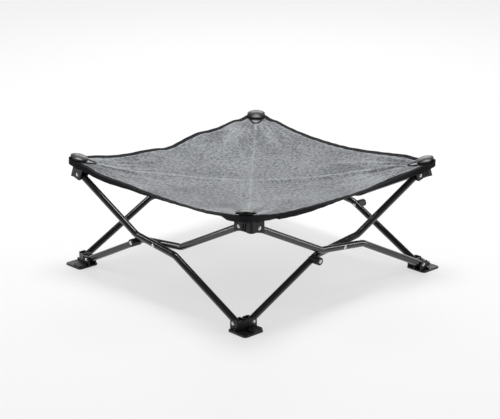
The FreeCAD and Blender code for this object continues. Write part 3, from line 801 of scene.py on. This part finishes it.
def painted_fan_streaks(f, x, y):
    """-1 to 1 in painted highlight and shade: streaks that fan out from the nearest hub and die away over
    the cloth.
    """
    along = f.maths("SUBTRACT", HALF, f.maths("ABSOLUTE", x))
    across = f.maths("SUBTRACT", HALF, f.maths("ABSOLUTE", y))
    squares = f.maths("ADD", f.maths("MULTIPLY", along, along), f.maths("MULTIPLY", across, across))
    reach = f.maths("SQRT", squares)
    turn = f.maths("ARCTAN2", across, along)
    corner = f.maths("ADD", f.maths("SIGN", x), f.maths("MULTIPLY", f.maths("SIGN", y), 2.0))
    fan = f.node("CombineXYZ", i0=turn, i1=f.maths("MULTIPLY", reach, 2.0), i2=corner).outputs[0]
    streak = f.ramp(f.noise(fan, 5.5, 2.0, 0.55), 0.36, 0.64, -1.0, 1.0)
    near = f.ramp(reach, 0.04, 0.3, 1.0, 0.15)
    return f.maths("MULTIPLY", streak, near)


def hem_highlight_band(f, x, y):
    """1 on the narrow band of cloth beside the binding's flap, which is painted paler as a highlight."""
    side_x = f.maths("ABSOLUTE", x)
    side_y = f.maths("ABSOLUTE", y)
    share = f.maths("DIVIDE", f.maths("MINIMUM", side_x, side_y), EDGE_STRAIGHT)
    rise = f.maths("MINIMUM", f.maths("MULTIPLY", share, share), 1.0)
    flare = f.maths("MULTIPLY", rise, EDGE_AT_CORNER - EDGE_AT_MIDDLE)
    flap_end = f.maths("ADD", EDGE_AT_MIDDLE - TAPE_FLAP, flare)
    inside = f.maths("SUBTRACT", flap_end, f.maths("MAXIMUM", side_x, side_y))
    return f.crease(f.maths("SUBTRACT", inside, 2 * MM), 5 * MM)


def heathered_cloth(name, dark, light, weave=2.1 * MM):
    """Plain-woven polyester canvas: dark and light yarns flecked along warp and weft.

    Painted highlight makes it paler along the ridge crests that the pull between opposite hubs leaves on
    the diagonals and along the binding, and painted highlight and shade streak it where it fans out from
    the hubs.
    """
    f = Finish(name, light, 0.86, Sheen_Weight=0.2, Sheen_Roughness=0.45, Specular_IOR_Level=0.2)
    space = f.cloth_space()
    parts = f.node("SeparateXYZ", i0=space)
    x, y = parts.outputs[0], parts.outputs[1]
    warp = f.noise(f.stretched(space, 95, 520), 1.0, 2.0, 0.6)
    weft = f.noise(f.stretched(space, 520, 95), 1.0, 2.0, 0.6)
    fleck = f.maths("ADD", warp, weft)
    mottle = f.ramp(f.noise(space, 120, 4.0, 0.68), 0.34, 0.66, -0.34, 0.34)
    broad = f.ramp(f.noise(space, 9, 3.0), 0.3, 0.7, -0.16, 0.16)
    # painted highlight and shade in streaks that fan out from the hubs
    painted_fan_light = f.maths("MULTIPLY", painted_fan_streaks(f, x, y), 0.42)
    uneven = f.maths("ADD", f.maths("ADD", mottle, broad), painted_fan_light)
    share = f.maths("ADD", f.ramp(fleck, 0.8, 1.2), uneven)
    colour = f.blend(f.node("Clamp", i0=share).outputs[0], dark, light)
    stray = f.ramp(f.noise(space, 9, 2.0), 0.0, 1.0, -7 * MM, 7 * MM)
    # painted highlight: the cloth is painted up to 1.45 times paler along the ridge crests on the
    # diagonals
    left_right = f.crease(f.maths("SUBTRACT", f.maths("SUBTRACT", x, y), stray), 6 * MM)
    front_back = f.crease(f.maths("ADD", f.maths("ADD", x, y), stray), 5 * MM)
    crease = f.maths("MAXIMUM", left_right, f.maths("MULTIPLY", front_back, 0.4))
    # painted highlight on the band of cloth beside the binding, at 0.7 of the crests'
    crease = f.maths("MAXIMUM", crease, f.maths("MULTIPLY", hem_highlight_band(f, x, y), 0.7))
    painted_crest_highlight = f.maths("MULTIPLY", crease, f.ramp(f.noise(space, 60, 3.0, 0.6), 0.3, 0.62, 0.1, 0.8))
    crest_highlight_colour = tuple(1.45 * c for c in light)
    colour = f.blend(painted_crest_highlight, colour, crest_highlight_colour)
    wave_x = f.maths("SINE", f.maths("MULTIPLY", x, math.tau / weave))
    wave_y = f.maths("SINE", f.maths("MULTIPLY", y, math.tau / weave))
    checks = f.maths("ABSOLUTE", f.maths("MULTIPLY", wave_x, wave_y))
    yarn = f.maths("POWER", checks, 0.6)
    # painted shade: the grooves between the yarns are darkened towards a quarter of the dark yarn's colour
    groove_shade = f.ramp(yarn, 0.0, 0.75, 0.35, 0.0)
    colour = f.blend(groove_shade, colour, tuple(0.25 * c for c in dark))
    fuzz = f.noise(space, 1900, 2.0, 0.7)
    height = f.maths("ADD", yarn, f.maths("MULTIPLY", fuzz, 0.35))
    return f.join(
        Base_Color=colour,
        Roughness=f.ramp(fleck, 0.8, 1.2, 0.9, 0.8),
        Normal=f.bump(height, 0.00032, 0.75),
    )


def grosgrain(name, colour, rib=1.05 * MM):
    """Ribbed woven tape; the ribs run across it."""
    f = Finish(name, colour, 0.75, Specular_IOR_Level=0.08)
    parts = f.node("SeparateXYZ", i0=f.cloth_space())
    wave = f.maths("SINE", f.maths("MULTIPLY", parts.outputs[0], math.tau / rib))
    ribs = f.ramp(wave, -1.0, 1.0)
    fuzz = f.noise(f.object_space(), 1500, 3.0, 0.65)
    # painted highlight: the rib crests are painted up to 4.5 times lighter than the tape, unevenly with
    # the fuzz
    light = tuple(4.5 * c for c in colour)
    height = f.maths("ADD", ribs, f.maths("MULTIPLY", fuzz, 0.5))
    return f.join(
        Base_Color=f.blend(f.maths("MULTIPLY", ribs, fuzz), colour, light),
        Normal=f.bump(height, 0.00022, 0.7),
    )


def thread():
    """Twisted polyester thread and braided cord."""
    f = Finish("thread", (0.012, 0.012, 0.013), 0.55, Specular_IOR_Level=0.35)
    space = f.object_space()
    twist = f.noise(f.stretched(space, 1.0, 1.0, 2.5), 1400, 2.0)
    return f.join(
        Base_Color=f.blend(f.ramp(twist, 0.35, 0.65), (0.006, 0.006, 0.007), (0.02, 0.02, 0.022)),
        Normal=f.bump(twist, 0.00018, 0.6),
    )


CLOTH = heathered_cloth("sling cloth", (0.075, 0.08, 0.087), (0.36, 0.375, 0.395))
PATCH_CLOTH = heathered_cloth("patch cloth", (0.09, 0.095, 0.102), (0.4, 0.414, 0.43), 1.7 * MM)
TAPE = grosgrain("binding tape", (0.0065, 0.0065, 0.0075))
THREAD_FINISH = thread()
FRAME_FINISHES = {
    "tube": powder_coat(),
    "bush": bush_plastic(),
    "rivet": zinc(),
    "moulding": moulded_plastic(),
    "cap": glossy_cap(),
}


def paint(obj, material):
    obj.data.materials.clear()
    obj.data.materials.append(material)
    return obj


def frame_finish(node):
    """Which finish a CAD node takes, by its name."""
    if "rivet" in node or node.startswith(("cap_pin", "middle_washer")):
        return FRAME_FINISHES["rivet" if "rivet" in node else "bush"]
    if "tube" in node:
        return FRAME_FINISHES["tube"]
    if node.startswith("cap_"):
        return FRAME_FINISHES["cap"]
    if node.startswith("stop_bush"):
        return FRAME_FINISHES["bush"]
    return FRAME_FINISHES["moulding"]


for piece in list(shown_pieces()):
    paint(piece, frame_finish(piece["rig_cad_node"]))


def gather(obj, region, quarter):
    """Sets which body a piece rides, and gives the hanging sheet and the wings meshes of their own."""
    corner = CORNERS[quarter]
    if region == "hanging":
        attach(obj, f"sling_{corner}")
        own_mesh(obj)
        return obj
    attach(obj, f"hub_{corner}")
    if region == "left_wing":
        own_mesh(obj)
    if region == "right_wing":
        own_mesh(obj)
    return obj


def trimmed(plan, region):
    trim(plan, region, False)
    return plan


def dress(obj, finish, region, quarter):
    """Gives a soft piece its finish and the body that it rides through the fold."""
    paint(obj, finish)
    gather(obj, region, quarter)


def soft_quarter(quarter):
    """Cloth, binding, patch, piping and seams of one corner: the hanging sheet, and the rest."""
    corner = CORNERS[quarter]
    hanging = None
    extras = []
    for region in ("hanging", "corner", "left_wing", "right_wing"):
        cloth = sheet_from_plan(f"cloth_{region}_{corner}", trimmed(plan_grid(), region), quarter)
        tape = tape_mesh(f"tape_{region}_{corner}", quarter, region)
        seam = tape_stitches(f"tape_stitches_{region}_{corner}", quarter, region)
        for obj, finish in ((cloth, CLOTH), (tape, TAPE), (seam, THREAD_FINISH)):
            dress(obj, finish, region, quarter)
        if region == "hanging":
            hanging = cloth
            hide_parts(f"sling_{corner}")
            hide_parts(f"binding_{corner}")
            extras += [tape, seam]
        else:
            extras += [cloth, tape, seam]
    for region in ("hanging", "hub_side"):
        leaf = trimmed(leaf_plan(), region)
        patch = sheet_from_plan(f"patch_{region}_{corner}", leaf, quarter, PATCH_LIFT, PATCH_T)
        piping = leaf_piping(f"piping_{region}_{corner}", quarter, region)
        seam = patch_stitches(f"patch_stitches_{region}_{corner}", quarter, region)
        for obj, finish in ((patch, PATCH_CLOTH), (piping, THREAD_FINISH), (seam, THREAD_FINISH)):
            dress(obj, finish, region, quarter)
        extras += [patch, piping, seam]
    return hanging, extras


SHEETS = [soft_quarter(quarter) for quarter in range(4)]


# ---------------------------------------------------------------- floor, light and camera
FLOOR_GLOW = (0.61, 0.77)       # painted light: the floor glows to lighten the bed's shadow on it, this much near the bed and far behind
WORLD_LIGHT = 0.25              # strength of the white room as a light
WORLD_SEEN = 0.97               # and as the camera sees it


def floor_and_backdrop():
    """Pale seamless floor that curves up far behind the bed."""
    reach, radius, high = 9.0, 2.5, 5.0
    section = [(-reach, 0.0), (reach - radius, 0.0)]
    for i in range(1, 17):
        turn = math.pi / 2 * i / 16
        section.append((reach - radius + radius * math.sin(turn), radius * (1 - math.cos(turn))))
    section.append((reach, high))
    verts, faces = [], []
    for along, up in section:
        for side in (-12.0, 12.0):
            verts.append(tuple(ACROSS * side - DIAGONAL * along + Vector((0, 0, up))))
    for i in range(len(section) - 1):
        faces.append((2 * i, 2 * i + 1, 2 * i + 3, 2 * i + 2))
    data = bpy.data.meshes.new("floor")
    data.from_pydata(verts, [], faces)
    data.polygons.foreach_set("use_smooth", [True] * len(faces))
    floor = add_object("floor", data)
    f = Finish("paper floor", (0.3, 0.3, 0.3), 0.9, Specular_IOR_Level=0.1)
    f.surface.inputs["Emission Color"].default_value = (1, 1, 1, 1)
    space = f.object_space()
    fibre = f.noise(space, 380, 3.0)
    colour = f.blend(fibre, (0.29, 0.29, 0.29), (0.31, 0.31, 0.31))
    far = f.node("VectorMath", i0=space)
    far.operation = "LENGTH"
    # painted light: the floor's glow rises from near the bed to far behind
    glow = f.ramp(far.outputs["Value"], 0.8, 5.0, *FLOOR_GLOW)
    paint(floor, f.join(Base_Color=colour, Emission_Strength=glow, Normal=f.bump(fibre, 0.0001, 0.2)))


def area_light(name, place, target, size, power):
    data = bpy.data.lights.new(name, "AREA")
    data.shape = "RECTANGLE"
    data.size, data.size_y = size
    data.energy = power
    lamp = bpy.data.objects.new(name, data)
    lamp.location = place
    lamp.rotation_euler = (Vector(target) - Vector(place)).to_track_quat("-Z", "Y").to_euler()
    bpy.context.scene.collection.objects.link(lamp)


def lights():
    area_light("overhead", (-0.25, 0.3, 2.4), (0, 0, 0.1), (1.0, 1.0), 45)
    area_light("behind", (-1.9, 1.9, 1.9), (0, 0, 0.2), (1.6, 1.0), 26)
    area_light("left", (-2.4, -1.6, 1.45), (0, 0, 0.15), (0.24, 2.5), 26)
    area_light("right", (1.6, 2.4, 1.45), (0, 0, 0.15), (0.24, 2.5), 26)
    world = bpy.data.worlds.new("studio")
    world.use_nodes = True
    tree = world.node_tree
    background = next(n for n in tree.nodes if n.type == "BACKGROUND")
    background.inputs[0].default_value = (1, 1, 1, 1)
    seen = tree.nodes.new("ShaderNodeMapRange")
    tree.links.new(tree.nodes.new("ShaderNodeLightPath").outputs["Is Camera Ray"], seen.inputs[0])
    seen.inputs["To Min"].default_value = WORLD_LIGHT
    seen.inputs["To Max"].default_value = WORLD_SEEN
    tree.links.new(seen.outputs[0], background.inputs[1])
    bpy.context.scene.world = world
    bpy.context.scene.view_settings.view_transform = "Standard"


def camera():
    place = Vector((2.6306, -2.4798, 1.3276))
    target = Vector((-0.00984, 0.00375, 0.1410))
    data = bpy.data.cameras.new("camera")
    data.lens = 114.14
    data.sensor_width = 36
    made = bpy.data.objects.new("camera", data)
    made.location = place
    look = (target - place).to_track_quat("-Z", "Y")
    roll = Matrix.Rotation(math.radians(-0.11), 4, "Z").to_quaternion()
    made.rotation_euler = (look @ roll).to_euler()
    bpy.context.scene.collection.objects.link(made)
    bpy.context.scene.camera = made


floor_and_backdrop()
lights()
camera()
